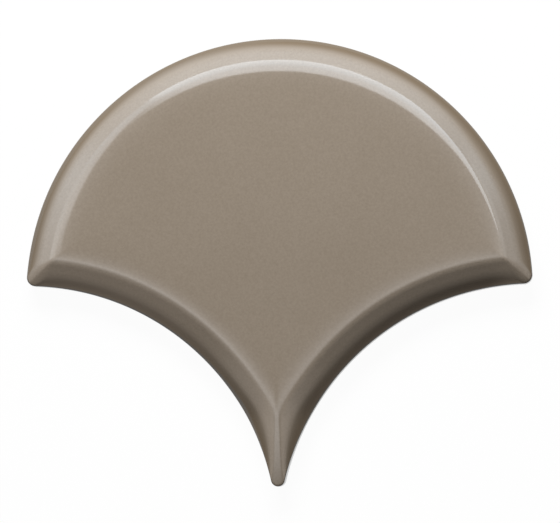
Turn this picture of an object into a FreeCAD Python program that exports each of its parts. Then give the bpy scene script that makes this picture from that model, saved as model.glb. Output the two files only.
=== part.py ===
import FreeCAD, Part
import math
import os
import Sketcher
from FreeCAD import Placement, Rotation, Vector

# A fish scale wall tile, pressed and fired in one piece.
# It lies on its back on the XY plane with its glazed face up. The centre of its round head is the origin, and its
# narrow tail points to -Y. Its two hollow flanks are arcs of the head's own radius, so that the heads of the next
# row nest in them.

NODE = "fish_scale_tile"

# Driving dimensions, in millimetres and degrees
DIMENSIONS = {
    # Outline
    "scale_radius": 67.5,
    "row_pitch": 65.7,
    "corner_radius": 2.0,
    "tip_radius": 1.8,
    "thickness": 10.0,
    # Rim, from the edge inwards: a roll, a straight bevel and a shoulder that runs out into the flat face
    "roll_width": 4.1,
    "bevel_width": 1.8,
    "shoulder_width": 2.6,
    "edge_angle": 47.0,
    "bevel_angle": 26.0,
    # Softened edges above and below the upright side
    "arris_radius": 1.0,
    "back_chamfer": 0.4,
    # Keys, the shallow grooves across the back that hold the mortar
    "key_margin": 7.0,
    "key_pitch": 8.0,
    "key_width": 4.0,
    "key_depth": 0.8,
}

# How far a cutting profile reaches past the surface that it cuts
CUT_REACH = 2.0

# Names for the points and axes of a sketch
START, END, CENTRE = range(1, 4)
ORIGIN, HEIGHT_AXIS = (-1, 1), -2

# Sizes of the rim that follow from its widths and angles
ROLL_RADIUS = "Sizes.roll_width / (sin(Sizes.edge_angle) - sin(Sizes.bevel_angle))"
SHOULDER_RADIUS = "Sizes.shoulder_width / sin(Sizes.bevel_angle)"


def sine(degrees):
    return math.sin(math.radians(degrees))


def cosine(degrees):
    return math.cos(math.radians(degrees))


def fill_sheet(document):
    """Write the driving dimensions into the document's sheet."""
    sheet = document.addObject("Spreadsheet::Sheet", "Sizes")
    for row, (alias, value) in enumerate(DIMENSIONS.items(), start=1):
        sheet.set(f"A{row}", alias)
        sheet.set(f"B{row}", str(value))
        sheet.setAlias(f"B{row}", alias)
    document.recompute()
    return sheet


def new_sketch(name, plane_role):
    """Add a sketch on one of the body's origin planes."""
    plane = next(item for item in body.Origin.OriginFeatures if item.Role == plane_role)
    sketch = body.newObject("Sketcher::SketchObject", name)
    sketch.AttachmentSupport = [(plane, "")]
    sketch.MapMode = "FlatFace"
    return sketch


def join(sketch, kind, *where):
    """Add a constraint without a value."""
    sketch.addConstraint(Sketcher.Constraint(kind, *where))


def measure(sketch, kind, where):
    """Read a radius, or the distance from one point to another, off the sketch as drawn."""
    if kind == "Radius":
        return sketch.Geometry[where[0]].Radius
    step = sketch.getPoint(*where[2:]) - sketch.getPoint(*where[:2])
    return step.x if kind == "DistanceX" else step.y


def dimension(sketch, name, expression, kind, *where):
    """Add a named constraint and tie its value to the sheet."""
    index = sketch.addConstraint(Sketcher.Constraint(kind, *where, measure(sketch, kind, where)))
    sketch.renameConstraint(index, name)
    sketch.setExpression(f"Constraints.{name}", expression)


def reading(sketch, name, kind, *where):
    """Add a named reference dimension, which other features read."""
    index = sketch.addConstraint(Sketcher.Constraint(kind, *where, measure(sketch, kind, where)))
    sketch.setDriving(index, False)
    sketch.renameConstraint(index, name)


def arc(centre, radius, start, end, side=1):
    """Arc about a centre between two angles, counter-clockwise. Side -1 swaps its left and right."""
    if side < 0:
        start, end = 180 - end, 180 - start
    circle = Part.Circle(centre, Vector(0, 0, 1), radius)
    return Part.ArcOfCircle(circle, math.radians(start), math.radians(end))


def ends(side):
    """First and last point of an arc that was drawn for this side."""
    return (START, END) if side > 0 else (END, START)


def heading(vector):
    """Direction of a vector in degrees from +X."""
    return math.degrees(math.atan2(vector.y, vector.x))


def draw_outline(sketch):
    """Head, corners, flanks and tip as one chain of tangent arcs."""
    radius = size["scale_radius"]
    corner_radius = size["corner_radius"]
    tip_radius = size["tip_radius"]
    flank_centre = Vector(radius, -size["row_pitch"])
    to_flank = flank_centre.Length
    along = (to_flank ** 2 - 4 * radius * corner_radius) / (2 * to_flank)
    across = math.sqrt((radius - corner_radius) ** 2 - along ** 2)
    flank_way = flank_centre / to_flank
    corner_centre = flank_way * along + Vector(-flank_way.y, flank_way.x) * across
    tip_rise = math.sqrt((radius + tip_radius) ** 2 - radius ** 2)
    tip_centre = Vector(0, tip_rise - size["row_pitch"])

    head_start = heading(corner_centre)
    corner_start = heading(flank_centre - corner_centre)
    flank_start = heading(corner_centre - flank_centre)
    flank_end = heading(tip_centre - flank_centre)
    tip_end = heading(flank_centre - tip_centre)

    head = sketch.addGeometry(arc(Vector(), radius, head_start, 180 - head_start))
    tip = sketch.addGeometry(arc(tip_centre, tip_radius, -180 - tip_end, tip_end))
    join(sketch, "Coincident", head, CENTRE, *ORIGIN)
    dimension(sketch, "head_radius", "Sizes.scale_radius", "Radius", head)
    dimension(sketch, "tip_radius", "Sizes.tip_radius", "Radius", tip)
    for label, side in (("right", 1), ("left", -1)):
        first, last = ends(side)
        corner_place = Vector(side * corner_centre.x, corner_centre.y)
        flank_place = Vector(side * flank_centre.x, flank_centre.y)
        corner = sketch.addGeometry(arc(corner_place, corner_radius, corner_start, head_start, side))
        flank = sketch.addGeometry(arc(flank_place, radius, flank_start, flank_end, side))
        join(sketch, "Tangent", corner, last, head, first)
        join(sketch, "Tangent", flank, first, corner, first)
        join(sketch, "Tangent", flank, last, tip, last)
        dimension(sketch, f"{label}_corner_radius", "Sizes.corner_radius", "Radius", corner)
        dimension(sketch, f"{label}_flank_radius", "Sizes.scale_radius", "Radius", flank)
        dimension(sketch, f"{label}_flank_drop", "Sizes.row_pitch", "DistanceY", flank, CENTRE, *ORIGIN)
        outwards = (*ORIGIN, flank, CENTRE) if side > 0 else (flank, CENTRE, *ORIGIN)
        dimension(sketch, f"{label}_flank_reach", "Sizes.scale_radius", "DistanceX", *outwards)
        if side > 0:
            reading(sketch, "corner_x", "DistanceX", *ORIGIN, corner, CENTRE)
            reading(sketch, "corner_y", "DistanceY", *ORIGIN, corner, CENTRE)
    reading(sketch, "tip_drop", "DistanceY", tip, CENTRE, *ORIGIN)


def place_section(sketch, x_place, y_place, turn):
    """Stand a section sketch at a point of the outline's plane, turned about the upright there."""
    upright = Vector(0, 1, 0)
    sketch.AttachmentOffset = Placement(Vector(), Rotation(upright, 90))
    sketch.setExpression("AttachmentOffset.Base.x", x_place)
    sketch.setExpression("AttachmentOffset.Base.z", f"-({y_place})")
    sketch.setExpression("AttachmentOffset.Rotation.Angle", turn)


def rim_heights():
    """Radii of the roll and the shoulder, and the heights where the pieces of the rim meet."""
    edge_angle = size["edge_angle"]
    bevel_angle = size["bevel_angle"]
    roll_radius = size["roll_width"] / (sine(edge_angle) - sine(bevel_angle))
    shoulder_radius = size["shoulder_width"] / sine(bevel_angle)
    bevel_top = size["thickness"] - shoulder_radius * (1 - cosine(bevel_angle))
    roll_top = bevel_top - size["bevel_width"] * math.tan(math.radians(bevel_angle))
    edge_height = roll_top - roll_radius * (cosine(bevel_angle) - cosine(edge_angle))
    return roll_radius, shoulder_radius, bevel_top, roll_top, edge_height


def close_section(sketch, inner, outer, side):
    """Close a cutting profile above the tile's face and outside its edge."""
    inner_place = sketch.getPoint(*inner)
    outer_place = sketch.getPoint(*outer)
    top = size["thickness"] + CUT_REACH
    beyond = outer_place.x + side * CUT_REACH
    corners = [
        inner_place,
        Vector(inner_place.x, top),
        Vector(beyond, top),
        Vector(beyond, outer_place.y),
        outer_place,
    ]
    before = inner
    for position, (corner, following) in enumerate(zip(corners, corners[1:])):
        line = sketch.addGeometry(Part.LineSegment(corner, following))
        join(sketch, "Coincident", *before, line, START)
        join(sketch, "Horizontal" if position % 2 else "Vertical", line)
        if position == 0:
            dimension(sketch, "cut_top", f"Sizes.thickness + {CUT_REACH}", "DistanceY", *ORIGIN, line, END)
        before = (line, END)
    join(sketch, "Coincident", *before, *outer)
    outwards = (*outer, line, START) if side > 0 else (line, START, *outer)
    dimension(sketch, "cut_reach", str(CUT_REACH), "DistanceX", *outwards)


def draw_rim_section(sketch, side):
    """Whole rim section. Side 1 has the tile inside the arc that it is turned about, side -1 outside it."""
    roll_radius, shoulder_radius, bevel_top, roll_top, edge_height = rim_heights()
    edge_angle = size["edge_angle"]
    bevel_angle = size["bevel_angle"]
    first, last = ends(side)
    roll_end = size["scale_radius"] - side * size["roll_width"]
    bevel_end = roll_end - side * size["bevel_width"]
    shoulder_end = bevel_end - side * size["shoulder_width"]
    roll_centre = Vector(size["scale_radius"] - side * roll_radius * sine(edge_angle),
                         edge_height - roll_radius * cosine(edge_angle))
    shoulder_centre = Vector(shoulder_end, size["thickness"] - shoulder_radius)

    roll = sketch.addGeometry(arc(roll_centre, roll_radius, 90 - edge_angle, 90 - bevel_angle, side))
    bevel = sketch.addGeometry(Part.LineSegment(Vector(roll_end, roll_top), Vector(bevel_end, bevel_top)))
    shoulder = sketch.addGeometry(arc(shoulder_centre, shoulder_radius, 90 - bevel_angle, 90, side))
    join(sketch, "Tangent", roll, last, bevel, START)
    join(sketch, "Tangent", bevel, END, shoulder, first)
    join(sketch, "Vertical", shoulder, CENTRE, shoulder, last)
    dimension(sketch, "edge_reach", "Sizes.scale_radius", "DistanceX", *ORIGIN, roll, first)
    dimension(sketch, "face_height", "Sizes.thickness", "DistanceY", *ORIGIN, shoulder, last)
    dimension(sketch, "roll_radius", ROLL_RADIUS, "Radius", roll)
    dimension(sketch, "shoulder_radius", SHOULDER_RADIUS, "Radius", shoulder)
    spans = {
        "roll_width": ((roll, first), (roll, last)),
        "bevel_width": ((bevel, START), (bevel, END)),
        "shoulder_width": ((shoulder, first), (shoulder, last)),
    }
    for name, (outer, inner) in spans.items():
        inwards = (*inner, *outer) if side > 0 else (*outer, *inner)
        dimension(sketch, name, f"Sizes.{name}", "DistanceX", *inwards)
    close_section(sketch, (shoulder, last), (roll, first), side)
    reading(sketch, "edge_height", "DistanceY", *ORIGIN, roll, first)


def draw_round_section(sketch, radius_name):
    """Rim section of a corner or tip round, which ends within the roll at the round's own centre."""
    roll_radius, _, _, _, edge_height = rim_heights()
    edge_angle = size["edge_angle"]
    reach = size[radius_name]
    centre = Vector(reach - roll_radius * sine(edge_angle), edge_height - roll_radius * cosine(edge_angle))
    middle_angle = math.degrees(math.acos(-centre.x / roll_radius))
    roll = sketch.addGeometry(arc(centre, roll_radius, 90 - edge_angle, middle_angle))
    join(sketch, "PointOnObject", roll, END, HEIGHT_AXIS)
    dimension(sketch, "edge_reach", f"Sizes.{radius_name}", "DistanceX", *ORIGIN, roll, START)
    dimension(sketch, "edge_height", "head_section.Constraints.edge_height", "DistanceY", *ORIGIN, roll, START)
    dimension(sketch, "roll_radius", ROLL_RADIUS, "Radius", roll)
    roll_reach = f"({ROLL_RADIUS}) * sin(Sizes.edge_angle)"
    dimension(sketch, "roll_reach", roll_reach, "DistanceX", roll, CENTRE, roll, START)
    close_section(sketch, (roll, END), (roll, START), 1)


def half_lengths(y_place):
    """Half the width of the keyed field at this height, as bounded by the head and by the flanks."""
    head_limit = size["scale_radius"] - size["key_margin"]
    flank_limit = size["scale_radius"] + size["key_margin"]
    above_flank = y_place + size["row_pitch"]
    head_half = math.sqrt(max(head_limit ** 2 - y_place ** 2, 0))
    flank_half = size["scale_radius"] - math.sqrt(max(flank_limit ** 2 - above_flank ** 2, 0))
    return head_half, flank_half


def draw_keys(sketch):
    """Straight grooves whose ends lie on arcs set in from the outline by the keys' margin."""
    flank_radius = size["scale_radius"] + size["key_margin"]
    head_limit = sketch.addGeometry(Part.Circle(Vector(), Vector(0, 0, 1), size["scale_radius"] - size["key_margin"]))
    join(sketch, "Coincident", head_limit, CENTRE, *ORIGIN)
    dimension(sketch, "head_limit", "Sizes.scale_radius - Sizes.key_margin", "Radius", head_limit)
    flank_limits = {}
    for label, side in (("right", 1), ("left", -1)):
        centre = Vector(side * size["scale_radius"], -size["row_pitch"])
        limit = sketch.addGeometry(Part.Circle(centre, Vector(0, 0, 1), flank_radius))
        outwards = (*ORIGIN, limit, CENTRE) if side > 0 else (limit, CENTRE, *ORIGIN)
        dimension(sketch, f"{label}_reach", "Sizes.scale_radius", "DistanceX", *outwards)
        dimension(sketch, f"{label}_drop", "Sizes.row_pitch", "DistanceY", limit, CENTRE, *ORIGIN)
        dimension(sketch, f"{label}_limit", "Sizes.scale_radius + Sizes.key_margin", "Radius", limit)
        flank_limits[side] = limit
    for limit in (head_limit, *flank_limits.values()):
        sketch.setConstruction(limit, True)

    reach = math.ceil(size["scale_radius"] / size["key_pitch"])
    for number in range(-reach, reach):
        middle = (number + 0.5) * size["key_pitch"]
        sides = {"low": middle - size["key_width"] / 2, "high": middle + size["key_width"] / 2}
        if min(min(half_lengths(place)) for place in sides.values()) < size["key_width"]:
            continue
        lines = {}
        for label, place in sides.items():
            head_half, flank_half = half_lengths(place)
            half = min(head_half, flank_half)
            line = sketch.addGeometry(Part.LineSegment(Vector(-half, place), Vector(half, place)))
            join(sketch, "Horizontal", line)
            for side, point in ((-1, START), (1, END)):
                limit = head_limit if head_half < flank_half else flank_limits[side]
                join(sketch, "PointOnObject", line, point, limit)
            sign = "+" if label == "high" else "-"
            key_place = f"{number + 0.5} * Sizes.key_pitch {sign} Sizes.key_width / 2"
            if place < 0:
                dimension(sketch, f"key_{number + reach}_{label}", f"-({key_place})", "DistanceY", line, START, *ORIGIN)
            else:
                dimension(sketch, f"key_{number + reach}_{label}", key_place, "DistanceY", *ORIGIN, line, START)
            lines[label] = line
        for point in (START, END):
            low_end = sketch.getPoint(lines["low"], point)
            high_end = sketch.getPoint(lines["high"], point)
            closing = sketch.addGeometry(Part.LineSegment(low_end, high_end))
            join(sketch, "Coincident", closing, START, lines["low"], point)
            join(sketch, "Coincident", closing, END, lines["high"], point)


def checked(feature):
    """Recompute, and stop if the feature failed or left the tile as it was."""
    document.recompute()
    if feature.Shape.isNull() or not feature.Shape.isValid():
        raise RuntimeError(f"{feature.Name} has no valid shape")
    if feature.BaseFeature and feature.Shape.Volume >= feature.BaseFeature.Shape.Volume:
        raise RuntimeError(f"{feature.Name} removed nothing")
    return feature


def groove(name, sketch, angle):
    """Turn a section about its own upright, half of the angle to each side."""
    feature = body.newObject("PartDesign::Groove", name)
    feature.Profile = sketch
    feature.ReferenceAxis = (sketch, ["V_Axis"])
    feature.Midplane = True
    feature.setExpression("Angle", angle)
    return checked(feature)


def level_edges(shape, height):
    """Names of the edges that lie wholly at one height."""
    names = []
    for number, edge in enumerate(shape.Edges, start=1):
        box = edge.BoundBox
        if math.isclose(box.ZMin, height, abs_tol=1e-4) and math.isclose(box.ZMax, height, abs_tol=1e-4):
            names.append(f"Edge{number}")
    return names


document = FreeCAD.newDocument("FishScaleTile")
sheet = fill_sheet(document)
size = {alias: float(sheet.get(alias)) for alias in DIMENSIONS}
body = document.addObject("PartDesign::Body", NODE)
body.Label = NODE

# Blank of the full thickness
outline = new_sketch("outline", "XY_Plane")
draw_outline(outline)
document.recompute()
blank = body.newObject("PartDesign::Pad", "blank")
blank.Profile = outline
blank.setExpression("Length", "Sizes.thickness")
checked(blank)

# Rim along the head
corner_rise = "atan2(outline.Constraints.corner_y; outline.Constraints.corner_x)"
head_section = new_sketch("head_section", "XZ_Plane")
place_section(head_section, "0", "0", "90")
draw_rim_section(head_section, 1)
head_rim = groove("head_rim", head_section, f"180 deg - 2 * {corner_rise}")

# Rim along the flanks and round the corners
flank_section = new_sketch("flank_section", "XZ_Plane")
place_section(flank_section, "Sizes.scale_radius", "-Sizes.row_pitch", "90")
draw_rim_section(flank_section, -1)
flank_rim = groove("flank_rim", flank_section, "360")

flank_fall = ("atan2(Sizes.row_pitch * 1 mm + outline.Constraints.corner_y; "
              "Sizes.scale_radius * 1 mm - outline.Constraints.corner_x)")
corner_section = new_sketch("corner_section", "XZ_Plane")
place_section(corner_section, "outline.Constraints.corner_x", "outline.Constraints.corner_y",
              f"({corner_rise} - {flank_fall}) / 2")
draw_round_section(corner_section, "corner_radius")
corner_rim = groove("corner_rim", corner_section, f"{corner_rise} + {flank_fall}")

left_rim = body.newObject("PartDesign::Mirrored", "left_rim")
left_rim.Originals = [flank_rim, corner_rim]
left_rim.MirrorPlane = (next(item for item in body.Origin.OriginFeatures if item.Role == "YZ_Plane"), [""])
body.Tip = left_rim
checked(left_rim)

# Rim round the tip
tip_section = new_sketch("tip_section", "XZ_Plane")
place_section(tip_section, "0", "-outline.Constraints.tip_drop", "-90")
draw_round_section(tip_section, "tip_radius")
tip_fall = "atan2(Sizes.row_pitch * 1 mm - outline.Constraints.tip_drop; Sizes.scale_radius * 1 mm)"
tip_rim = groove("tip_rim", tip_section, f"180 deg - 2 * {tip_fall}")

# Softened edges of the upright side
arris = body.newObject("PartDesign::Fillet", "arris")
arris.Base = (tip_rim, level_edges(tip_rim.Shape, rim_heights()[-1]))
arris.setExpression("Radius", "Sizes.arris_radius")
checked(arris)

back_edge = body.newObject("PartDesign::Chamfer", "back_edge")
back_edge.Base = (arris, level_edges(arris.Shape, 0))
back_edge.setExpression("Size", "Sizes.back_chamfer")
checked(back_edge)

# Keys across the back
key_lines = new_sketch("key_lines", "XY_Plane")
draw_keys(key_lines)
keys = body.newObject("PartDesign::Pocket", "keys")
keys.Profile = key_lines
keys.Reversed = True
keys.setExpression("Length", "Sizes.key_depth")
checked(keys)

failed = [item.Name for item in document.Objects if {"Invalid", "Error"} & set(item.State)]
if failed:
    raise RuntimeError(f"failed features: {failed}")
if body.Shape.isNull() or not body.Shape.isValid() or len(body.Shape.Solids) != 1:
    raise RuntimeError("the tile is not one valid solid")

os.makedirs("parts", exist_ok=True)
body.Shape.exportStep(os.path.join("parts", f"{body.Label}.step"))
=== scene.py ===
import math

import bmesh
import bpy
import numpy as np
from bpy.props import FloatProperty, FloatVectorProperty, PointerProperty
from bpy.types import Operator, Panel, PropertyGroup
from mathutils import Matrix, Vector


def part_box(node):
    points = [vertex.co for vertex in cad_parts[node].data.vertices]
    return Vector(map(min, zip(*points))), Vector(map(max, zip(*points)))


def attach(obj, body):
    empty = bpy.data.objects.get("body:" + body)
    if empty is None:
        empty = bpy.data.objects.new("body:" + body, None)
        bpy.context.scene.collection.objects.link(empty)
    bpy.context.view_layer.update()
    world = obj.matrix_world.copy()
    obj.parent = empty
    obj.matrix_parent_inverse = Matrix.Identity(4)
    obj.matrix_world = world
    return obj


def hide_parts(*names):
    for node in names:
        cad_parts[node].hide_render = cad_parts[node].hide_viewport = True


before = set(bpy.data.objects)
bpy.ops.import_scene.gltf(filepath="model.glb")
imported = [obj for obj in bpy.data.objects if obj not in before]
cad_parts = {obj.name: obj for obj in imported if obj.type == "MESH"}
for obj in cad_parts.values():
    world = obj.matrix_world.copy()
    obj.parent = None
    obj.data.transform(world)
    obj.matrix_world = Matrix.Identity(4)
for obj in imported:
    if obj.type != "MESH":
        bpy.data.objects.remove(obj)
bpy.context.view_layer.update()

bl_info = {
    "name": "Fish Scale Tile",
    "version": (1, 0, 0),
    "blender": (4, 5, 0),
    "location": "3D View > Sidebar > Tile",
    "description": "Models a glazed fish scale wall tile and the studio that it lies in",
    "category": "Add Mesh",
}

NODE = "fish_scale_tile"
_, NODE_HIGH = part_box(NODE)

# Inward normals and softness of the softbox's near, right and left sides
SOFTBOX_SIDES = (((0.03, 1.0, -0.145), 0.012), ((-1.0, 0.15, 0.54), 0.012), ((0.81, 0.59, 0.0), 0.065))

# How many times brighter the softbox is at its far end
SOFTBOX_GAIN = 1.83

# Way to the dark place of the camera in the ceiling
CAMERA_PLACE = Vector((-0.015, -0.005, 1.0)).normalized()

# Centre and size of the lamp that models the form
KEY_PLACE = Vector((-0.071, 0.581, 0.469))
KEY_WIDTH = 0.5
KEY_DEPTH = 0.3

# Half the side of the floor, and the gap between it and the tile
FLOOR_REACH = 6.0
FLOOR_GAP = 0.0001

# Point in the middle of the picture, and the width of the camera's sensor in millimetres
PICTURE_MIDDLE = Vector((0.00040, 0.00807, 0.00492))
SENSOR_WIDTH = 36.0

# Columns of the shell along each arc of half the outline: half the tip, a flank, a corner, half the head
ARC_COLUMNS = (12, 150, 14, 170)

# Places along the whole outline, one for each arc of its two halves, and the place in the middle of a corner
LOOP_PLACES = 8.0
CORNER_MIDDLE = 2.5

# Rows of the shell from the chamfer up to the rim, along the rim's section and over the face
BARE_ROWS = 3
LIP_ROWS = 5
SIDE_ROWS = 6
ARRIS_ROWS = 8
ROLL_ROWS = 21
BEVEL_ROWS = 5
SHOULDER_ROWS = 15
FACE_ROWS = 33

# Power by which the rows of the face spread towards its middle
FACE_SPREAD = 2.2

# Columns of the back from the middle to the end of a key, and from there to the edge
KEY_COLUMNS = 8
BORDER_COLUMNS = 5

# Least and most share of the back's width that the columns leave to the keys
KEY_SHARES = (0.35, 0.9)

# Steps along half the outline, and how many times finer than the mesh its section is, to read values off them
FINE_PLACES = 40000
FINE_DENSITY = 40

# Power of the barrel's section, and of the turn from the rim's section into it
BARREL_POWER = 1.6
TURN_POWER = 8

# Share, number and phase of the waves in the lower edge of the glaze
GLAZE_WAVES = ((0.45, 3, 0.7), (0.30, 8, 2.1), (0.17, 19, 4.0), (0.08, 47, 1.3))

# Upward part of the normal below which the glaze has its full painted shade of steep slopes, and above which it has
# none
FULL_SHADE_LEVEL = 0.73
NO_SHADE_LEVEL = 0.885

# Least and most of the gloss roughness, as shares of it
GLOSS_SHARES = (0.8, 1.3)

# Points nearer than the first are welded, edges shorter than the second dissolved, edges over the angle kept crisp
WELD_DISTANCE = 2e-7
LEAST_LENGTH = 1e-7
CRISP_ANGLE = math.radians(40)


def length(name, description, default):
    """A property for a size in metres."""
    return FloatProperty(name=name, description=description, default=default, min=0.0, precision=5,
                         subtype="DISTANCE", unit="LENGTH")


def angle(name, description, default_degrees):
    """A property for an angle, given in degrees."""
    return FloatProperty(name=name, description=description, default=math.radians(default_degrees),
                         subtype="ANGLE", unit="ROTATION")


def colour(name, description, default):
    """A property for a scene-linear colour."""
    return FloatVectorProperty(name=name, description=description, default=default, min=0.0, max=1.0,
                               size=3, subtype="COLOR")


def factor(name, description, default, soft_max=1.0):
    """A property for a plain number."""
    return FloatProperty(name=name, description=description, default=default, min=0.0, soft_max=soft_max)


class TileSizes(PropertyGroup):
    """Sizes of the fired tile."""

    scale_radius: length("Scale radius", "Radius of the round head and of both hollow flanks", NODE_HIGH.y)
    thickness: length("Thickness", "From the bedding face to the flat of the glazed face", NODE_HIGH.z)
    row_pitch: length("Row pitch", "From the head's centre down to the centres of the flanks", 0.0657)
    corner_radius: length("Corner radius", "Round between the head and a flank", 0.0024)
    tip_radius: length("Tip radius", "Round at the end of the tail", 0.00185)
    roll_width: length("Roll width", "Width of the rolled edge of the rim", 0.0041)
    bevel_width: length("Bevel width", "Width of the straight bevel of the rim", 0.00168)
    shoulder_width: length("Shoulder width", "Width of the round between the bevel and the run-out", 0.0019)
    edge_angle: angle("Edge angle", "Slope of the roll at the edge of the tile", 47)
    bevel_angle: angle("Bevel angle", "Slope of the bevel", 26)
    run_out_slope: angle("Run-out slope", "Slope at which the shoulder begins to run out into the flat", 6)
    run_out_length: length("Run-out length", "Distance over which the run-out fades into the flat", 0.0019)
    arris_radius: length("Arris radius", "Round between the roll and the upright side", 0.0010)
    mitre_softness: length("Mitre softness", "Radius of the rim's ridges at the inner corners", 0.0005)
    mitre_fade: length("Mitre fade", "Distance over which a ridge sharpens from the outline inwards", 0.0038)
    mitre_spread: factor("Mitre spread", "How fast a corner's round grows at first from the outline inwards", 0.8)
    corner_ease: factor("Corner ease", "Share by which the rim grows shallower at a corner", 0.14)
    corner_reach: length("Corner reach", "Distance from a corner over which the rim grows shallower", 0.0055)
    tip_fade: length("Tip fade", "Distance over which the tail's ridge sharpens from the tip inwards", 0.0024)
    tail_softness: length("Tail softness", "Radius of the ridge along the tail", 0.0006)
    tail_width: length("Tail width", "Distance from the outline to the ridge at which the tail turns round", 0.0078)
    tail_fade: length("Tail fade", "Distance to the ridge below which the tail's edges become less steep", 0.0012)
    tail_start: length("Tail start", "Distance to the ridge at which it begins to fall from the face", 0.0094)
    tail_drop: length("Tail drop", "Depth of the curve in which the ridge falls to the tip of the tail", 0.0042)
    tail_reach: length("Tail reach", "Distance to the ridge over which the curve flattens", 0.0065)
    back_chamfer: length("Back chamfer", "Chamfer round the bedding face", 0.0004)
    key_margin: length("Key margin", "Plain border round the keyed field of the back", 0.0070)
    key_pitch: length("Key pitch", "From one key to the next", 0.0080)
    key_width: length("Key width", "Width of a key at the back's surface", 0.0040)
    key_depth: length("Key depth", "Depth of the keys", 0.0008)
    key_draft: length("Key draft", "How far a key's wall leans over its depth", 0.0003)
    glaze_coat: length("Glaze coat", "Thickness of the glaze on the upright side", 0.0002)
    glaze_line: length("Glaze line", "Height on the side at which the glaze ends", 0.0019)
    glaze_wander: length("Glaze wander", "How far the glaze line strays from its height", 0.0005)


class TileFinish(PropertyGroup):
    """Colours and grain of the glaze and of the bare fired clay."""

    glaze: colour("Glaze", "Colour of the taupe glaze where it lies even", (0.272, 0.226, 0.177))
    glaze_pale: colour("Pale glaze", "Colour of the glaze where it lies thick", (0.285, 0.238, 0.188))
    # Dark colour of the glaze's mottle, which also paints shade on its steep slopes and upright sides
    mottle_and_slope_shade: colour("Thin glaze", "Colour of the glaze where it runs thin on a slope", (0.146, 0.111, 0.074))
    biscuit: colour("Biscuit", "Colour of the bare fired clay", (0.58, 0.48, 0.37))
    biscuit_dark: colour("Dark biscuit", "Colour of the clay's darker grain", (0.44, 0.35, 0.26))
    gloss_roughness: factor("Gloss roughness", "Roughness of the fused glaze", 0.06)
    gloss_size: length("Gloss size", "Width of the patches in which the roughness varies", 0.004)
    drift_size: length("Drift size", "Width of the slow drifts of colour in the glaze", 0.030)
    mottle_size: length("Mottle size", "Width of the lumps of the glaze's fine mottle", 0.0006)
    # The mottle goes towards the same dark colour that paints shade on the steep slopes
    mottle_share: factor("Mottle share", "How far the mottle goes towards the thin glaze", 0.28)
    wave_size: length("Wave size", "Width of the waves in the glaze's surface", 0.006)
    wave_height: length("Wave height", "Height of the waves in the glaze's surface", 0.00006)
    cloud_size: length("Cloud size", "Width of the clouds in the bare clay", 0.012)
    sand_size: length("Sand size", "Width of the grains of the bare clay", 0.0005)
    sand_height: length("Sand height", "Height of the grains of the bare clay", 0.00012)


class StageLook(PropertyGroup):
    """Light, floor and camera of the studio."""

    key_light: factor("Key light", "Radiance of the lamp that models the form", 21.3, 50.0)
    softbox_light: factor("Softbox light", "Radiance of the softbox over the head, in reflections", 5.4, 20.0)
    wall_light: factor("Wall light", "Radiance of the bright wall beyond the head, in reflections", 3.5, 20.0)
    panel_light: factor("Panel light", "Radiance of the panel on the left, in reflections", 4.1, 20.0)
    low_light: factor("Low light", "Radiance of the low light beyond the head on the left, in reflections", 1.2, 20.0)
    side_light: factor("Side light", "Radiance of the lights on both sides, in reflections", 1.6, 20.0)
    ceiling_light: factor("Ceiling light", "Radiance of the ceiling round the camera, in reflections", 1.9, 20.0)
    over_tail_light: factor("Light over the tail", "Radiance that the ceiling adds over the tail", 0.85, 20.0)
    tail_light: factor("Tail light", "Radiance of the low light beyond the tail, in reflections", 0.95, 20.0)
    haze_light: factor("Haze light", "Radiance of the haze low all round, in reflections", 0.75, 20.0)
    room_light: factor("Room light", "Radiance of the whole room", 0.04, 5.0)
    floor_glow: factor("Floor glow", "Radiance of the floor to the eye and in reflections", 0.965, 5.0)
    floor_bounce: factor("Floor bounce", "Radiance with which the floor lights the tile's sides", 0.35, 5.0)
    head_tint: colour("Head tint", "Cool tint of the wall and the softbox beyond the head", (0.78, 0.895, 1.0))
    studio_tint: colour("Studio tint", "Tint of the rest of the studio", (0.93, 0.925, 0.93))
    haze_tint: colour("Haze tint", "Warm tint of the tail light, the haze and some side light", (1.0, 0.82, 0.66))
    camera_distance: length("Camera distance", "From the camera to the tile", 1.1)
    camera_right: angle("Camera to the right", "Lean of the line of sight to the right of the tile's middle", 5.25)
    camera_below: angle("Camera below", "Lean of the line of sight towards the tail", 3.75)
    picture_span: length("Picture span", "Width of the view at the tile", 0.14875)


def arc_step(place, number):
    """How far along arc number of the chain a place is, from 0 at its start to 1 at its end."""
    return np.clip(place - number, 0.0, 1.0)


def face_middle(sizes):
    """Inset of the point of the face that is furthest from the outline."""
    return (sizes.scale_radius + sizes.row_pitch) ** 2 / (4 * sizes.scale_radius + 2 * sizes.row_pitch)


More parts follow.
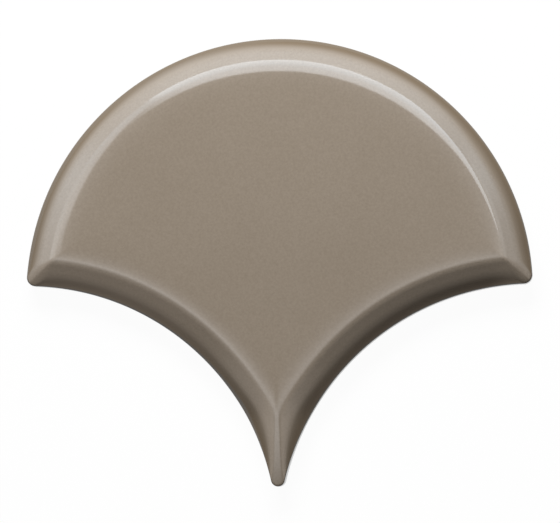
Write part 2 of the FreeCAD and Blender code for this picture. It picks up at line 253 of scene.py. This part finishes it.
def half_outline(sizes, place, inset):
    """Right half of the outline, drawn inwards by inset, as x and y.

    The chain is half the tip, the flank, the corner and half the head, all tangent arcs. The head's radius shrinks
    by the inset and the flank's grows by it about fixed centres. The rounds of the corner and the tip fade from their
    own radius to the softness of the rim's ridges, which ends at the middle of the face: the tip's as
    exp(-inset / tip fade), the corner's as exp(-(inset / mitre fade)^2) after it has grown by mitre spread * inset.
    A place from 0 to 4 counts along the four arcs.
    """
    radius = sizes.scale_radius
    pitch = sizes.row_pitch
    left_over = 1 - inset / face_middle(sizes)
    corner_round = sizes.corner_radius - sizes.mitre_softness + sizes.mitre_spread * inset
    corner_radius = sizes.mitre_softness * left_over + corner_round * np.exp(-(inset / sizes.mitre_fade) ** 2)
    tip_round = sizes.tip_radius - sizes.tail_softness
    tip_radius = sizes.tail_softness * left_over + tip_round * np.exp(-inset / sizes.tip_fade)
    head_radius = radius - inset
    flank_radius = radius + inset

    spacing = math.hypot(radius, pitch)
    to_head = head_radius - corner_radius
    to_flank = flank_radius + corner_radius
    along = (to_head ** 2 - to_flank ** 2 + spacing ** 2) / (2 * spacing)
    across = np.sqrt(np.maximum(to_head ** 2 - along ** 2, 0.0))
    corner_x = (radius * along + pitch * across) / spacing
    corner_y = (radius * across - pitch * along) / spacing
    tip_y = np.sqrt((flank_radius + tip_radius) ** 2 - radius ** 2) - pitch

    tip_end = np.arctan2(-pitch - tip_y, radius)
    flank_tip = tip_end + math.pi
    flank_corner = np.arctan2(corner_y + pitch, corner_x - radius)
    corner_start = flank_corner - math.pi
    head_start = np.arctan2(corner_y, corner_x)

    tip_turn = -math.pi / 2 + (tip_end + math.pi / 2) * arc_step(place, 0)
    flank_turn = flank_tip + (flank_corner - flank_tip) * arc_step(place, 1)
    corner_turn = corner_start + (head_start - corner_start) * arc_step(place, 2)
    head_turn = head_start + (math.pi / 2 - head_start) * arc_step(place, 3)
    arcs = [place < 1, place < 2, place < 3]
    x = np.select(arcs, [
        tip_radius * np.cos(tip_turn),
        radius + flank_radius * np.cos(flank_turn),
        corner_x + corner_radius * np.cos(corner_turn),
    ], head_radius * np.cos(head_turn))
    y = np.select(arcs, [
        tip_y + tip_radius * np.sin(tip_turn),
        -pitch + flank_radius * np.sin(flank_turn),
        corner_y + corner_radius * np.sin(corner_turn),
    ], head_radius * np.sin(head_turn))
    return x, y


def key_levels(sizes):
    """Heights along Y at which the walls of the keys begin and end, and the middles of the keys."""
    reach = math.ceil(sizes.scale_radius / sizes.key_pitch)
    middles = (np.arange(-reach, reach) + 0.5) * sizes.key_pitch
    half = sizes.key_width / 2
    room = np.minimum(key_half_length(sizes, middles - half), key_half_length(sizes, middles + half))
    middles = middles[room >= sizes.key_width]
    floor_half = half - sizes.key_draft
    offsets = np.array([-half, -floor_half, floor_half, half])
    return (middles[:, None] + offsets).ravel(), middles


def key_half_length(sizes, y):
    """Half the width of the keyed field, bounded by arcs set in from the head and the flanks by the margin."""
    radius = sizes.scale_radius
    head = np.sqrt(np.maximum((radius - sizes.key_margin) ** 2 - y ** 2, 0.0))
    over_flank = np.maximum((radius + sizes.key_margin) ** 2 - (y + sizes.row_pitch) ** 2, 0.0)
    return np.minimum(head, radius - np.sqrt(over_flank))


def outline_places(sizes, back_inset):
    """Places along half the outline: even steps on each arc, and one wherever a key's wall begins or ends."""
    steps = [number + np.linspace(0, 1, count, endpoint=False) for number, count in enumerate(ARC_COLUMNS)]
    end = float(len(ARC_COLUMNS))
    fine = np.linspace(0, end, FINE_PLACES + 1)
    _, fine_y = half_outline(sizes, fine, np.full_like(fine, back_inset))
    walls = np.interp(key_levels(sizes)[0], fine_y, fine)
    return np.union1d(np.concatenate(steps + [[end]]), walls)


def mirrored(x, y):
    """Whole loops from half outlines: up the right side and down the left."""
    return np.hstack([x, -x[:, -2:0:-1]]), np.hstack([y, y[:, -2:0:-1]])


def rim_section(sizes, arris, density=1):
    """Inset and height of the section from the top of the upright side to the middle of the face.

    A round with the radius arris, a roll, a straight bevel and a shoulder follow each other, each tangent to the
    next. Along a round of radius r about a centre, a slope s lies r sin(s) out from the centre and r cos(s) above it.
    The glaze runs out from the shoulder into the flat: its slope and its depth fade as
    exp(-distance / run-out length). The rows are density times as many as the mesh has.
    """
    bevel = sizes.bevel_angle
    edge = sizes.edge_angle
    roll_radius = sizes.roll_width / (math.sin(edge) - math.sin(bevel))
    run_out = sizes.run_out_slope
    shoulder_radius = sizes.shoulder_width / (math.sin(bevel) - math.sin(run_out))
    rim_width = sizes.roll_width + sizes.bevel_width + sizes.shoulder_width
    run_out_depth = sizes.run_out_length * math.tan(run_out)
    shoulder_height = sizes.thickness - run_out_depth - shoulder_radius * math.cos(run_out)
    shoulder_centre = rim_width + shoulder_radius * math.sin(run_out)
    shoulder_foot = shoulder_height + shoulder_radius * math.cos(bevel)
    bevel_foot = shoulder_foot - sizes.bevel_width * math.tan(bevel)
    roll_centre = roll_radius * math.sin(edge)
    roll_height = bevel_foot - roll_radius * math.cos(bevel)
    arris_height = roll_height + math.sqrt((roll_radius - arris) ** 2 - (roll_centre - arris) ** 2)
    arris_slope = math.asin((roll_centre - arris) / (roll_radius - arris))

    arris_turn = np.linspace(math.pi / 2, arris_slope, ARRIS_ROWS * density + 1)
    roll_turn = np.linspace(arris_slope, bevel, ROLL_ROWS * density + 1)[1:]
    bevel_step = np.linspace(0, 1, BEVEL_ROWS * density + 1)[1:-1]
    shoulder_turn = np.linspace(bevel, run_out, SHOULDER_ROWS * density + 1)
    face_step = np.linspace(0, 1, FACE_ROWS * density + 1)[1:] ** FACE_SPREAD
    face_inset = rim_width + (face_middle(sizes) - rim_width) * face_step
    inset = np.concatenate([
        arris - arris * np.sin(arris_turn),
        roll_centre - roll_radius * np.sin(roll_turn),
        sizes.roll_width + sizes.bevel_width * bevel_step,
        shoulder_centre - shoulder_radius * np.sin(shoulder_turn),
        face_inset,
    ])
    height = np.concatenate([
        arris_height + arris * np.cos(arris_turn),
        roll_height + roll_radius * np.cos(roll_turn),
        bevel_foot + (shoulder_foot - bevel_foot) * bevel_step,
        shoulder_height + shoulder_radius * np.cos(shoulder_turn),
        sizes.thickness - run_out_depth * np.exp((rim_width - face_inset) / sizes.run_out_length),
    ])
    return inset, height


def tail_lift(sizes, inset, y):
    """How much higher the tail is than the rim's section, because its rims turn into one barrel and meet in no mitre.

    Where the ridge lies w from the outline, it is tail drop * exp(-w / tail reach) lower than the face, less what that
    comes to at the tail start. From there the barrel falls by w s / p * (1 - inset / w)^p, with p for its power, so
    that it comes to the side at the slope s, which is tan(edge angle) * (1 - exp(-w / tail fade)). The barrel takes a
    share of 1 / (1 + (w / tail width)^turn power).
    """
    fine_inset, fine_height = rim_section(sizes, 0.0, FINE_DENSITY)
    _, ridge_y = half_outline(sizes, np.zeros_like(fine_inset), fine_inset)
    to_ridge = np.maximum(np.interp(y, ridge_y, fine_inset), LEAST_LENGTH)
    curve = np.exp(-to_ridge / sizes.tail_reach) - math.exp(-sizes.tail_start / sizes.tail_reach)
    ridge = sizes.thickness - sizes.tail_drop * curve
    edge_slope = math.tan(sizes.edge_angle) * (1 - np.exp(-to_ridge / sizes.tail_fade))
    fall = to_ridge * edge_slope / BARREL_POWER * np.clip(1 - inset / to_ridge, 0.0, 1.0) ** BARREL_POWER
    share = 1 / (1 + (to_ridge / sizes.tail_width) ** TURN_POWER)
    return share * (ridge - fall - np.interp(inset, fine_inset, fine_height))


def glaze_edge(sizes, place):
    """Height at which the glaze ends on the side: its usual height and a few waves along the outline."""
    turn = 2 * math.pi * place / LOOP_PLACES
    waves = sum(share * np.sin(number * turn + phase) for share, number, phase in GLAZE_WAVES)
    return sizes.glaze_line + sizes.glaze_wander * waves


def shell_grid(sizes, place):
    """Shell of the tile from the back's edge over the side, the rim and the face, as x, y, z arrays, and its first
    glazed row.

    Rows go up and inwards. The bare foot is a chamfer and an upright that stops at the glaze's edge. The glaze
    begins there with a rounded lip as thick as its coat, goes up the side and follows the rim's section. At a distance
    d from a corner the section is shallower by a share of corner ease * exp(-(d / corner reach)^2).
    """
    columns = 2 * (len(place) - 1)
    loop_place = np.concatenate([place, LOOP_PLACES - place[-2:0:-1]])
    edge = glaze_edge(sizes, loop_place)
    coat = sizes.glaze_coat
    chamfer = sizes.back_chamfer
    rim_inset, rim_height = rim_section(sizes, sizes.arris_radius)
    rim_x, rim_y = mirrored(*half_outline(sizes, place[None, :], rim_inset[:, None]))
    rim_z = rim_height[:, None] + tail_lift(sizes, rim_inset[:, None], rim_y)
    corner_x, corner_y = half_outline(sizes, np.array([CORNER_MIDDLE]), np.zeros(1))
    from_corner = np.hypot(np.abs(rim_x) - corner_x, rim_y - corner_y)
    rim_z += sizes.corner_ease * np.exp(-(from_corner / sizes.corner_reach) ** 2) * (sizes.thickness - rim_z)

    foot_inset = coat + np.array([1.0, 0.5, 0.0]) * chamfer
    foot_height = np.array([0.0, 0.5, 1.0]) * chamfer
    bare_step = np.linspace(0, 1, BARE_ROWS + 1)[1:]
    lip_turn = np.linspace(0, math.pi / 2, LIP_ROWS + 1)[1:]
    side_step = np.linspace(0, 1, SIDE_ROWS + 1)[1:-1]
    lip_top = edge + coat
    height = np.vstack([
        np.repeat(foot_height[:, None], columns, axis=1),
        chamfer + (edge - chamfer) * bare_step[:, None],
        edge + coat * (1 - np.cos(lip_turn))[:, None],
        lip_top + (rim_z[0] - lip_top) * side_step[:, None],
        rim_z,
    ])
    inset = np.concatenate([
        foot_inset,
        np.full_like(bare_step, coat),
        coat * (1 - np.sin(lip_turn)),
        np.zeros_like(side_step),
    ])
    low_x, low_y = mirrored(*half_outline(sizes, place[None, :], inset[:, None]))
    first_glazed = len(foot_inset) + len(bare_step) - 1
    return np.stack([np.vstack([low_x, rim_x]), np.vstack([low_y, rim_y]), height], axis=-1), first_glazed


def back_grid(sizes, place, back_inset):
    """Keyed back as rows straight across the tile, each from one point of the outline to the point beside it.

    A key is as deep as the lesser of two ramps allows: one leaning in from its long walls, one from its ends.
    """
    half_width, y = half_outline(sizes, place, np.full_like(place, back_inset))
    half_width = np.maximum(half_width, 0.0)
    field = np.clip(key_half_length(sizes, y), *(share * half_width for share in KEY_SHARES))
    field_floor = field - sizes.key_draft * (field > 4 * sizes.key_draft)
    inner = np.linspace(0, 1, KEY_COLUMNS + 1)[1:]
    border = np.linspace(0, 1, BORDER_COLUMNS + 1)[1:]
    right = np.hstack([
        field_floor[:, None] * inner,
        field[:, None],
        field[:, None] + (half_width - field)[:, None] * border,
    ])
    x = np.hstack([-right[:, ::-1], np.zeros((len(place), 1)), right])
    _, middles = key_levels(sizes)
    from_key = np.abs(y[:, None] - middles).min(axis=1)
    wall_ramp = np.clip((sizes.key_width / 2 - from_key) / sizes.key_draft, 0, 1)
    end_ramp = np.clip((field[:, None] - np.abs(x)) / sizes.key_draft, 0, 1)
    z = sizes.key_depth * np.minimum(wall_ramp[:, None], end_ramp)
    return np.stack([x, np.broadcast_to(y[:, None], x.shape), z], axis=-1)


def grid_quads(rows, columns, start=0, closed=False):
    """Corner numbers of the quads between neighbouring rows and columns of a grid."""
    numbers = start + np.arange(rows * columns).reshape(rows, columns)
    following = np.roll(numbers, -1, axis=1) if closed else numbers[:, 1:]
    here = numbers if closed else numbers[:, :-1]
    quads = [here[:-1], following[:-1], following[1:], here[1:]]
    return np.stack(quads, axis=-1).reshape(-1, 4)


def link_mesh(name, points, quads, material_numbers, materials):
    """Make a smooth object from arrays, weld its seams and poles, and mark its crisp edges."""
    mesh = bpy.data.meshes.new(name)
    mesh.from_pydata(points, [], quads)
    for material in materials:
        mesh.materials.append(material)
    mesh.polygons.foreach_set("material_index", material_numbers)
    built = bmesh.new()
    built.from_mesh(mesh)
    bmesh.ops.remove_doubles(built, verts=built.verts, dist=WELD_DISTANCE)
    bmesh.ops.dissolve_degenerate(built, edges=built.edges, dist=LEAST_LENGTH)
    built.to_mesh(mesh)
    built.free()
    mesh.polygons.foreach_set("use_smooth", np.ones(len(mesh.polygons), dtype=bool))
    mesh.set_sharp_from_angle(angle=CRISP_ANGLE)
    mesh.update()
    piece = bpy.data.objects.new(name, mesh)
    bpy.context.scene.collection.objects.link(piece)
    return piece


class NodeBench:
    """Adds and joins the nodes of one material or world."""

    def __init__(self, owner):
        owner.use_nodes = True
        self.tree = owner.node_tree
        self.tree.nodes.clear()

    def add(self, kind, settings=None, **inputs):
        """Add a node, set its options, and fill or link its inputs by name."""
        node = self.tree.nodes.new(kind)
        for option, value in (settings or {}).items():
            setattr(node, option, value)
        for name, value in inputs.items():
            self.feed(node.inputs[name.replace("_", " ")], value)
        return node

    def feed(self, socket, value):
        """Link an output to a socket, or set the socket's own value."""
        if isinstance(value, bpy.types.NodeSocket):
            self.tree.links.new(value, socket)
        else:
            socket.default_value = value

    def math(self, operation, first, second=0.0):
        """One operation on one or two numbers."""
        node = self.tree.nodes.new("ShaderNodeMath")
        node.operation = operation
        self.feed(node.inputs[0], first)
        self.feed(node.inputs[1], second)
        return node.outputs[0]

    def product(self, first, *others):
        """Several numbers multiplied."""
        for other in others:
            first = self.math("MULTIPLY", first, other)
        return first

    def total(self, first, *others):
        """Several numbers added up."""
        for other in others:
            first = self.math("ADD", first, other)
        return first

    def span(self, value, low, high, to_low=0.0, to_high=1.0, smooth=False):
        """Carry a number from one range to another, held at the ends."""
        node = self.add("ShaderNodeMapRange", {"interpolation_type": "SMOOTHSTEP" if smooth else "LINEAR"},
                        Value=value, From_Min=low, From_Max=high, To_Min=to_low, To_Max=to_high)
        return node.outputs["Result"]

    def dot(self, first, second):
        """Scalar product of two vectors."""
        node = self.add("ShaderNodeVectorMath", {"operation": "DOT_PRODUCT"})
        self.feed(node.inputs[0], first)
        self.feed(node.inputs[1], second)
        return node.outputs["Value"]

    def beyond(self, way, normal, softness):
        """1 on the side of a plane through the centre that its normal points to, 0 on the other, with a soft edge."""
        return self.span(self.dot(way, normal), -softness, softness, smooth=True)

    def blend(self, share, first, second):
        """Mix two colours."""
        node = self.tree.nodes.new("ShaderNodeMix")
        node.data_type = "RGBA"
        self.feed(node.inputs["Factor"], share)
        self.feed(node.inputs[6], first)
        self.feed(node.inputs[7], second)
        return node.outputs[2]

    def noise(self, place, grain, detail=2.0, roughness=0.5):
        """Noise whose lumps are about one grain wide, in metres."""
        node = self.add("ShaderNodeTexNoise", {"normalize": True}, Vector=place, Scale=1.0 / grain,
                        Detail=detail, Roughness=roughness)
        return node.outputs["Fac"]


def rgba(values):
    """A colour with full alpha, as sockets take it."""
    return (*values, 1.0)


def glaze_material(finish):
    """Fused taupe glaze: deep gloss, slow colour drifts, fine mottle, painted shade on steep slopes, barely wavy
    surface.
    """
    material = bpy.data.materials.new("taupe_glaze")
    bench = NodeBench(material)
    coordinates = bench.add("ShaderNodeTexCoord").outputs
    place = coordinates["Object"]
    drift = bench.span(bench.noise(place, finish.drift_size), 0.3, 0.7)
    mottle = bench.span(bench.noise(place, finish.mottle_size, roughness=0.6), 0.25, 0.75)
    even = bench.blend(drift, rgba(finish.glaze), rgba(finish.glaze_pale))
    # Painted shade: darker towards the dark colour where the normal points less upwards, as on steep slopes and upright
    # sides
    level = bench.add("ShaderNodeSeparateXYZ", Vector=coordinates["Normal"]).outputs["Z"]
    steep = bench.span(level, FULL_SHADE_LEVEL, NO_SHADE_LEVEL, 1.0, 0.0, True)
    shade_and_mottle = bench.math("MAXIMUM", bench.math("MULTIPLY", mottle, finish.mottle_share), steep)
    mottled_and_shaded = bench.blend(shade_and_mottle, even, rgba(finish.mottle_and_slope_shade))
    roughness = bench.span(bench.noise(place, finish.gloss_size), 0.3, 0.7,
                           *(finish.gloss_roughness * share for share in GLOSS_SHARES))
    waves = bench.add("ShaderNodeBump", Strength=0.12, Distance=finish.wave_height,
                      Height=bench.noise(place, finish.wave_size, 1.0))
    shader = bench.add("ShaderNodeBsdfPrincipled", Base_Color=mottled_and_shaded, Roughness=roughness, IOR=1.55,
                       Normal=waves.outputs["Normal"])
    bench.add("ShaderNodeOutputMaterial", Surface=shader.outputs["BSDF"])
    return material


def biscuit_material(finish):
    """Bare fired clay: matt, with a dark sandy grain and soft clouds."""
    material = bpy.data.materials.new("bare_biscuit")
    bench = NodeBench(material)
    place = bench.add("ShaderNodeTexCoord").outputs["Object"]
    clouds = bench.span(bench.noise(place, finish.cloud_size, 3.0), 0.35, 0.65)
    sand = bench.noise(place, finish.sand_size, 4.0, 0.7)
    toned = bench.blend(bench.math("MULTIPLY", clouds, 0.5), rgba(finish.biscuit), rgba(finish.biscuit_dark))
    grained = bench.blend(bench.span(sand, 0.45, 0.75, 0.0, 0.6), toned, rgba(finish.biscuit_dark))
    bump = bench.add("ShaderNodeBump", Strength=0.5, Distance=finish.sand_height, Height=sand)
    shader = bench.add("ShaderNodeBsdfPrincipled", Base_Color=grained, Roughness=0.9, IOR=1.45,
                       Normal=bump.outputs["Normal"])
    bench.add("ShaderNodeOutputMaterial", Surface=shader.outputs["BSDF"])
    return material


def floor_material(look):
    """Pale studio floor, white to the eye and in reflections, which keeps the tile's shadow and lights its sides."""
    material = bpy.data.materials.new("pale_floor")
    bench = NodeBench(material)
    ray = bench.add("ShaderNodeLightPath")
    seen = bench.math("MAXIMUM", ray.outputs["Is Camera Ray"], ray.outputs["Is Glossy Ray"])
    seen = bench.math("MAXIMUM", seen, ray.outputs["Is Transmission Ray"])
    shade = bench.add("ShaderNodeBsdfDiffuse", Color=(0.03, 0.03, 0.03, 1.0))
    glow = bench.add("ShaderNodeEmission", Color=(1.0, 1.0, 1.0, 1.0),
                     Strength=bench.span(seen, 0, 1, look.floor_bounce, look.floor_glow))
    shown = bench.add("ShaderNodeAddShader")
    bench.feed(shown.inputs[0], shade.outputs["BSDF"])
    bench.feed(shown.inputs[1], glow.outputs["Emission"])
    bench.add("ShaderNodeOutputMaterial", Surface=shown.outputs["Shader"])
    return material


def hang_key_lamp(look):
    """Rectangular lamp that faces the tile with one radiance all over, and shows neither by itself nor in the gloss."""
    light = bpy.data.lights.new("key_lamp", "AREA")
    light.shape = "RECTANGLE"
    light.size = KEY_WIDTH
    light.size_y = KEY_DEPTH
    light.energy = look.key_light * math.pi * KEY_WIDTH * KEY_DEPTH
    lamp = bpy.data.objects.new("key_lamp", light)
    lamp.location = KEY_PLACE
    lamp.rotation_euler = KEY_PLACE.to_track_quat("Z", "Y").to_euler()
    lamp.visible_camera = False
    lamp.visible_glossy = False
    bpy.context.scene.collection.objects.link(lamp)


def line_of_sight(look):
    """Way from the tile to the camera."""
    return Vector((math.tan(look.camera_right), -math.tan(look.camera_below), 1.0)).normalized()


def studio_way(bench, look):
    """Way of a ray into the studio, turned so that the flat face throws the line of sight back straight up."""
    sight = line_of_sight(look)
    mirrored_sight = Vector((-sight.x, -sight.y, sight.z))
    upright = Vector((0.0, 0.0, 1.0))
    turned = bench.add("ShaderNodeVectorRotate", {"rotation_type": "AXIS_ANGLE"},
                       Vector=bench.add("ShaderNodeTexCoord").outputs["Generated"],
                       Axis=mirrored_sight.cross(upright), Angle=mirrored_sight.angle(upright))
    return turned.outputs["Vector"]


def studio_lights(bench, look):
    """What the studio shows in reflections: the radiance of its plain lights, their tint and the radiance of its warm
    lights.

    The plain lights are a bright wall beyond the head, a low light on the wall's left, a panel on the left, lights on
    both sides, a pale ceiling round the dark place of the camera, which is brighter over the tail, and a softbox over
    the head with planes for its sides. The warm lights are part of the sides' light in the tail's half, a low light
    beyond the tail and a haze low all round. Angles from the top and from the camera's place are in degrees.
    """
    way = studio_way(bench, look)
    across, along, up = bench.add("ShaderNodeSeparateXYZ", Vector=way).outputs
    from_top = bench.math("DEGREES", bench.math("ARCCOSINE", up))
    from_camera = bench.math("DEGREES", bench.math("ARCCOSINE", bench.dot(way, CAMERA_PLACE)))

    wall = bench.product(bench.span(along, -0.1, 0.8, 0.0, look.wall_light),
                         bench.span(up, 0.18, 0.60),
                         bench.beyond(way, (-1.0, 0.52, 0.93), 0.2),
                         bench.span(from_top, 8, 40, smooth=True))
    low = bench.product(bench.span(across, -0.05, -0.40, 0.0, look.low_light),
                        bench.span(along, 0.68, 0.85),
                        bench.span(up, 0.5, 0.2))
    panel = bench.product(bench.span(from_top, 44, 53, look.panel_light, 0.0, True),
                          bench.beyond(way, (-1.0, 0.0, -0.165), 0.03),
                          bench.span(along, -0.05, 0.10, smooth=True))
    sideways = bench.math("SUBTRACT", bench.math("ABSOLUTE", across), bench.math("ABSOLUTE", along))
    sides = bench.product(bench.span(sideways, 0.0, 0.35, 0.0, look.side_light, True),
                          bench.span(up, 0.32, 0.58),
                          bench.span(from_top, 8, 22, smooth=True))
    plain_sides = bench.product(sides, bench.span(along, -0.25, 0.0, 0.4, 1.0))
    warm_sides = bench.product(sides, bench.span(along, 0.0, -0.25, 0.0, 0.45))
    ceiling = bench.product(bench.span(from_camera, 2, 12, 0.0, look.ceiling_light),
                            bench.span(from_top, 13, 30, 1.0, 0.0, True),
                            bench.span(along, -0.05, 0.15, 1.0, 0.35))
    over_tail = bench.product(bench.span(from_camera, 2, 12, 0.0, look.over_tail_light),
                              bench.span(from_top, 18, 48, 1.0, 0.0, True),
                              bench.span(along, -0.05, -0.20),
                              bench.span(across, 0.16, -0.02))
    softbox = bench.product(bench.span(along, 0.0, 1.0, look.softbox_light, SOFTBOX_GAIN * look.softbox_light),
                            bench.span(up, 0.642, 0.658, smooth=True),
                            *[bench.beyond(way, normal, softness) for normal, softness in SOFTBOX_SIDES])
    tail = bench.product(bench.span(along, -0.4, -0.85, 0.0, look.tail_light),
                         bench.span(across, 0.15, -0.1, 0.15, 1.0))
    haze = bench.span(up, 0.0, 0.3, look.haze_light, 0.0)

    around = bench.total(wall, plain_sides, ceiling, over_tail, low)
    plain = bench.math("MAXIMUM", bench.math("MAXIMUM", around, panel), softbox)
    tint = bench.blend(bench.span(along, 0.0, 0.4), rgba(look.studio_tint), rgba(look.head_tint))
    warm = bench.total(warm_sides, tail, haze)
    return plain, tint, warm


def studio_world(look):
    """Dim room whose lights show only in reflections."""
    world = bpy.data.worlds.new("studio_room")
    bpy.context.scene.world = world
    bench = NodeBench(world)
    plain, tint, warm = studio_lights(bench, look)
    ray = bench.add("ShaderNodeLightPath")
    seen = bench.math("MAXIMUM", ray.outputs["Is Glossy Ray"], ray.outputs["Is Transmission Ray"])
    room = bench.math("MAXIMUM", bench.product(plain, seen), look.room_light)
    studio = bench.add("ShaderNodeBackground", Color=tint, Strength=room)
    glow = bench.add("ShaderNodeBackground", Color=rgba(look.haze_tint), Strength=bench.product(warm, seen))
    shown = bench.add("ShaderNodeAddShader")
    bench.feed(shown.inputs[0], studio.outputs["Background"])
    bench.feed(shown.inputs[1], glow.outputs["Background"])
    bench.add("ShaderNodeOutputWorld", Surface=shown.outputs["Shader"])


def place_camera(look):
    """Camera that looks along the line of sight at the middle of the picture, with the head upwards."""
    camera_data = bpy.data.cameras.new("camera")
    camera_data.sensor_width = SENSOR_WIDTH
    camera_data.lens = SENSOR_WIDTH * look.camera_distance / look.picture_span
    camera_data.clip_end = 50.0
    camera = bpy.data.objects.new("camera", camera_data)
    sight = line_of_sight(look)
    up = (Vector((0.0, 1.0, 0.0)) - sight.y * sight).normalized()
    camera.location = PICTURE_MIDDLE + look.camera_distance * sight
    camera.rotation_euler = Matrix((up.cross(sight), up, sight)).transposed().to_euler()
    bpy.context.scene.collection.objects.link(camera)
    bpy.context.scene.camera = camera


class TILE_OT_glazed_tile(Operator):
    """Build the fired tile with its glazed face, bare foot and keyed back"""

    bl_idname = "tile.glazed_tile"
    bl_label = "Glazed Tile"

    def execute(self, context):
        sizes = context.scene.tile_sizes
        finish = context.scene.tile_finish
        back_inset = sizes.glaze_coat + sizes.back_chamfer
        place = outline_places(sizes, back_inset)
        shell, first_glazed = shell_grid(sizes, place)
        back = back_grid(sizes, place, back_inset)
        rows, columns = shell.shape[:2]
        shell_quads = grid_quads(rows, columns, closed=True)
        back_quads = grid_quads(*back.shape[:2], start=rows * columns)[:, ::-1]
        glazed = np.repeat(np.arange(rows - 1) >= first_glazed, columns)
        material_numbers = np.concatenate([np.where(glazed, 0, 1), np.ones(len(back_quads), dtype=int)])
        points = np.vstack([shell.reshape(-1, 3), back.reshape(-1, 3)])
        quads = np.vstack([shell_quads, back_quads])
        materials = [glaze_material(finish), biscuit_material(finish)]
        piece = link_mesh("glazed_tile", points, quads, material_numbers, materials)
        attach(piece, "root")
        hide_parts(NODE)
        return {"FINISHED"}


class TILE_OT_stage(Operator):
    """Lay the pale floor, set the studio light and place the camera"""

    bl_idname = "tile.stage"
    bl_label = "Studio Stage"

    def execute(self, context):
        look = context.scene.stage_look
        corners = [(x * FLOOR_REACH, y * FLOOR_REACH, -FLOOR_GAP) for x, y in ((-1, -1), (1, -1), (1, 1), (-1, 1))]
        mesh = bpy.data.meshes.new("studio_floor")
        mesh.from_pydata(corners, [], [(0, 1, 2, 3)])
        mesh.materials.append(floor_material(look))
        floor = bpy.data.objects.new("studio_floor", mesh)
        context.scene.collection.objects.link(floor)
        hang_key_lamp(look)
        studio_world(look)
        place_camera(look)
        context.scene.view_settings.view_transform = "Standard"
        return {"FINISHED"}


class TILE_PT_panel(Panel):
    """Sizes, finish and studio of the tile"""

    bl_idname = "TILE_PT_panel"
    bl_label = "Fish Scale Tile"
    bl_space_type = "VIEW_3D"
    bl_region_type = "UI"
    bl_category = "Tile"

    def draw(self, context):
        layout = self.layout
        for group in (context.scene.tile_sizes, context.scene.tile_finish, context.scene.stage_look):
            column = layout.column(align=True)
            for name in group.__annotations__:
                column.prop(group, name)
        layout.operator(TILE_OT_glazed_tile.bl_idname)
        layout.operator(TILE_OT_stage.bl_idname)


CLASSES = (TileSizes, TileFinish, StageLook, TILE_OT_glazed_tile, TILE_OT_stage, TILE_PT_panel)


def register():
    for entry in CLASSES:
        bpy.utils.register_class(entry)
    bpy.types.Scene.tile_sizes = PointerProperty(type=TileSizes)
    bpy.types.Scene.tile_finish = PointerProperty(type=TileFinish)
    bpy.types.Scene.stage_look = PointerProperty(type=StageLook)


def unregister():
    del bpy.types.Scene.stage_look
    del bpy.types.Scene.tile_finish
    del bpy.types.Scene.tile_sizes
    for entry in reversed(CLASSES):
        bpy.utils.unregister_class(entry)


def main():
    register()
    bpy.ops.tile.glazed_tile()
    bpy.ops.tile.stage()


if __name__ == "__main__":
    main()
